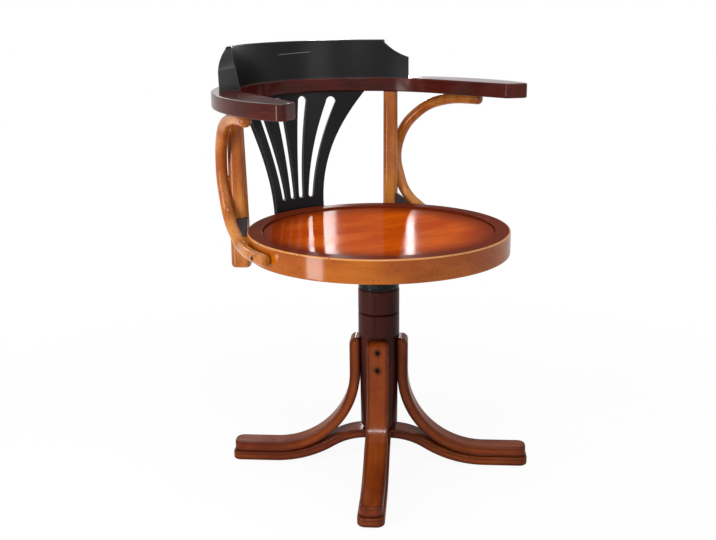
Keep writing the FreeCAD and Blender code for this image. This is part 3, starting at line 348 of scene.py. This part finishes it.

# Brace blocks. Small wedges that fill the corners between the posts and the braces, coloured the
# near-black blue-grey of the shade in those corners: painted shade.
BLOCK_MID = "#23262C"
BLOCK_LIGHT = "#3A3438"
BLOCK_DARK = "#0C0C10"
corner_shade_finish = stained_wood("corner_shade_block", BLOCK_MID, BLOCK_LIGHT, BLOCK_DARK,
                          straight_grain(UPRIGHT), gloss=0.3, specular=0.3, coat=0.2)
for node in ("brace_block_left", "brace_block_right"):
    dress(node, corner_shade_finish)

# Crest and splat. Bent boards painted black, with a satin sheen; their arrises are worn and carry a
# painted highlight, a pale grey line; the crest has one long pale scratch on its face. A spacer packs
# the splat out from the ring.
BLACK_PAINT = "#0B0B0D"
BLACK_WEAR_AND_HIGHLIGHT = "#3C3534"
BLACK_EDGE_REACH = 0.0025
SCRATCH_TONE = "#6E6C6A"
SCRATCH_X = 0.014
SCRATCH_Z = 0.779
SCRATCH_SLOPE = 0.04
SCRATCH_L = 0.084
SCRATCH_W = 0.0009
SCRATCH_END = 0.01


def black_paint():
    """Satin paint over wood: a faint brush texture, worn arrises lightened as a painted highlight,
    and the crest's scratch.
    """
    material, tree = new_material("black_painted_wood")
    place = add(tree, "TexCoord").outputs["Object"]
    brushed = add(tree, "Mapping", {"Vector": place, "Scale": (40, 40, 400)})
    strokes = add(tree, "TexNoise", {"Vector": brushed.outputs[0], "Scale": 1.0, "Detail": 3.0})
    # The arrises turn grey: worn paint and a painted highlight.
    edges = arris_mask(tree, BLACK_EDGE_REACH)
    colour = mixed(tree, edges, linear(BLACK_PAINT), linear(BLACK_WEAR_AND_HIGHLIGHT))
    parts = add(tree, "SeparateXYZ", {"Vector": place}).outputs
    rise = worked_out(tree, "MULTIPLY", parts["X"], SCRATCH_SLOPE)
    line = worked_out(tree, "ADD", rise, SCRATCH_Z)
    off = worked_out(tree, "ABSOLUTE", worked_out(tree, "SUBTRACT", parts["Z"], line))
    aside = worked_out(tree, "ABSOLUTE", worked_out(tree, "SUBTRACT", parts["X"], SCRATCH_X))
    thin = worked_out(tree, "SUBTRACT", 1.0, fade(tree, off, SCRATCH_W / 2, SCRATCH_W))
    reach = fade(tree, aside, SCRATCH_L / 2 - SCRATCH_END, SCRATCH_L / 2)
    short = worked_out(tree, "SUBTRACT", 1.0, reach)
    normal = add(tree, "NewGeometry").outputs["Normal"]
    facing = add(tree, "SeparateXYZ", {"Vector": normal}).outputs["Y"]
    in_front = worked_out(tree, "LESS_THAN", facing, 0.0)
    scratch = worked_out(tree, "MULTIPLY", worked_out(tree, "MULTIPLY", thin, short), in_front)
    colour = mixed(tree, scratch, colour, linear(SCRATCH_TONE))
    smooth = add(tree, "MapRange", {"Value": strokes.outputs["Fac"], "From Min": 0.3, "From Max": 0.7,
                                    "To Min": 0.27, "To Max": 0.36})
    relief = add(tree, "Bump", {"Height": strokes.outputs["Fac"], "Strength": 0.05,
                                "Distance": 0.0005})
    shader = add(tree, "BsdfPrincipled",
                 {"Base Color": colour, "Roughness": smooth.outputs["Result"], "IOR": 1.45,
                  "Specular IOR Level": 0.2, "Coat Weight": 0.0,
                  "Normal": relief.outputs["Normal"]})
    finish_material(tree, shader)
    return material


black_wood = black_paint()
for node in ("crest", "splat", "splat_spacer"):
    dress(node, black_wood)

# Battens and dowels. Bare beech, hidden under the seat and in the joints.
BEECH = "#B08A5C"
BEECH_LIGHT = "#C29C6C"
BEECH_DARK = "#8A6438"
batten_wood = stained_wood("bare_beech", BEECH, BEECH_LIGHT, BEECH_DARK,
                           straight_grain((0, 0, math.pi / 2)), gloss=0.55, coat=0.0, edge_share=0.2)
for node in ("bearer_left", "bearer_right", "crest_dowels"):
    dress(node, batten_wood)

# Steel. The collar, hub and seat plate are black enamelled; screws and bolts are darkened; the
# bush and thrust ring are turned bronze.
STEEL_WORN = "#6A655F"
STEEL_WEAR_REACH = 0.001
STEEL_WEAR_SHARE = 0.5
POLISH_SPREAD = 0.06


def metal(name, colour, metallic, roughness, ripple_mm, specular=0.5):
    """A worked metal surface with a fine uneven polish."""
    material, tree = new_material(name)
    place = add(tree, "TexCoord").outputs["Object"]
    ripple = add(tree, "TexNoise", {"Vector": place, "Scale": 1000.0 / ripple_mm, "Detail": 2.0})
    smooth = add(tree, "MapRange", {"Value": ripple.outputs["Fac"],
                                    "To Min": roughness - POLISH_SPREAD,
                                    "To Max": roughness + POLISH_SPREAD})
    edges = worked_out(tree, "MULTIPLY", arris_mask(tree, STEEL_WEAR_REACH), STEEL_WEAR_SHARE)
    shown = mixed(tree, edges, linear(colour), linear(STEEL_WORN))
    shader = add(tree, "BsdfPrincipled", {"Base Color": shown, "Metallic": metallic,
                                          "Roughness": smooth.outputs["Result"],
                                          "Specular IOR Level": specular})
    finish_material(tree, shader)
    return material


enamel = metal("black_enamelled_steel", "#0A0A0C", 0.0, 0.22, 6.0, specular=0.15)
dark_steel = metal("darkened_steel", "#1C1918", 1.0, 0.4, 3.0)
bronze = metal("turned_bronze", "#8A6A3A", 1.0, 0.3, 3.0)
for node in ("collar", "hub", "hub_cover", "seat_plate"):
    dress(node, enamel)
for node in ("leg_screws", "foot_screws", "base_bolt", "set_screw", "spindle_socket", "spindle",
             "spindle_washer", "spindle_nut", "hub_bolts", "plate_screws", "bearer_screws",
             "post_bolts", "brace_screws", "splat_screws"):
    dress(node, dark_steel)
for node in ("hub_bush", "thrust_washer"):
    dress(node, bronze)

# Floor. A plain pale floor that shows white to the camera and keeps a faint shadow under the
# chair; away from it the white is full, so that the floor's far edge doesn't show.
FLOOR_HALF = 12.0
FLOOR_DROP = 0.0005
FLOOR_COLOUR = "#F4F4F4"
FLOOR_WHITE_SHARE = 0.93
SHADOW_FADE_FROM = 0.5
SHADOW_FADE_TO = 1.3


def seen_directly(tree):
    """1 for camera rays and for rays that mirror or glass sends on."""
    path = add(tree, "LightPath").outputs
    both = worked_out(tree, "MAXIMUM", path["Is Camera Ray"], path["Is Glossy Ray"])
    return worked_out(tree, "MAXIMUM", both, path["Is Transmission Ray"])


def floor_material():
    material, tree = new_material("pale_floor")
    matt = add(tree, "BsdfDiffuse", {"Color": linear(FLOOR_COLOUR)})
    white = add(tree, "Emission", {"Color": (1, 1, 1, 1), "Strength": 1.0})
    far = fade(tree, ring_out(tree), SHADOW_FADE_FROM, SHADOW_FADE_TO)
    whiter = worked_out(tree, "MULTIPLY", far, 1.0 - FLOOR_WHITE_SHARE)
    whole = worked_out(tree, "ADD", whiter, FLOOR_WHITE_SHARE)
    share = worked_out(tree, "MULTIPLY", seen_directly(tree), whole)
    both = add(tree, "MixShader", {0: share, 1: matt.outputs[0], 2: white.outputs[0]})
    finish_material(tree, both)
    return material


floor_mesh = bpy.data.meshes.new("floor")
shape = bmesh.new()
bmesh.ops.create_grid(shape, x_segments=1, y_segments=1, size=FLOOR_HALF)
shape.to_mesh(floor_mesh)
shape.free()
floor = bpy.data.objects.new("floor", floor_mesh)
floor.location.z = -FLOOR_DROP
bpy.context.scene.collection.objects.link(floor)
floor.data.materials.append(floor_material())

# Light. A dim even room, one tall soft box close to the sitter's right, a weaker one in front, a
# broad one overhead, a narrow one high in front that lights the arrises, and two narrow ones far
# behind, whose reflections run down the seat.
ROOM_LEVEL = 0.3
world = bpy.data.worlds.new("studio")
bpy.context.scene.world = world
world.use_nodes = True
room = world.node_tree
room.nodes.clear()
room_mix = worked_out(room, "MULTIPLY", seen_directly(room), 1.0 - ROOM_LEVEL)
room_strength = worked_out(room, "ADD", room_mix, ROOM_LEVEL)
room_light = add(room, "Background", {"Color": (1, 1, 1, 1), "Strength": room_strength})
room_output = add(room, "OutputWorld")
room.links.new(room_light.outputs[0], room_output.inputs["Surface"])


def soft_box(name, azimuth, distance, height, width, tall, watts, aim_height=0.45):
    """A rectangular lamp aimed at the column's axis, with its sizes in metres.

    Azimuth 0 is in front of the sitter, and 90 at the sitter's left.
    """
    turn = math.radians(azimuth)
    aim = Vector((0, 0, aim_height))
    place = Vector((distance * math.sin(turn), -distance * math.cos(turn), height))
    lamp = bpy.data.lights.new(name, "AREA")
    lamp.shape = "RECTANGLE"
    lamp.size = width
    lamp.size_y = tall
    lamp.energy = watts
    holder = bpy.data.objects.new(name, lamp)
    holder.location = place
    holder.rotation_euler = (place - aim).to_track_quat("Z", "Y").to_euler()
    holder.visible_camera = False
    bpy.context.scene.collection.objects.link(holder)


soft_box("key_box", -90, 1.35, 0.54, 0.34, 0.98, 12.5, aim_height=0.5)
soft_box("front_box", 5, 2.8, 1.7, 1.2, 1.2, 13)
soft_box("back_box", 165, 3.0, 1.9, 1.6, 1.0, 14)
soft_box("back_strip_left", 145, 3.2, 1.15, 0.12, 0.5, 8)
soft_box("back_strip_right", 138, 3.2, 1.12, 0.03, 0.35, 2.5)
soft_box("top_box", 0, 0.05, 2.9, 2.0, 2.0, 26)
soft_box("high_strip", -39.5, 1.43, 1.85, 0.5, 0.09, 11, aim_height=0.1)

# Camera, fitted to the photograph's view of the seat, the arms and the feet.
CAMERA_AT = (-1.2633, -1.5328, 0.9069)
CAMERA_HEADING = 38.36
CAMERA_DIP = 14.66
CAMERA_ROLL = -0.48
FOCAL_PIXELS = 1079.6
IMAGE_WIDTH = 716
SENSOR_WIDTH = 36.0
camera_data = bpy.data.cameras.new("camera")
camera_data.sensor_width = SENSOR_WIDTH
camera_data.lens = FOCAL_PIXELS * SENSOR_WIDTH / IMAGE_WIDTH
camera = bpy.data.objects.new("camera", camera_data)
heading = Matrix.Rotation(math.radians(-CAMERA_HEADING), 4, "Z")
dip = Matrix.Rotation(math.radians(90 - CAMERA_DIP), 4, "X")
roll = Matrix.Rotation(math.radians(CAMERA_ROLL), 4, "Z")
camera.matrix_world = Matrix.Translation(CAMERA_AT) @ heading @ dip @ roll
bpy.context.scene.collection.objects.link(camera)
bpy.context.scene.camera = camera
bpy.context.scene.view_settings.view_transform = "Standard"
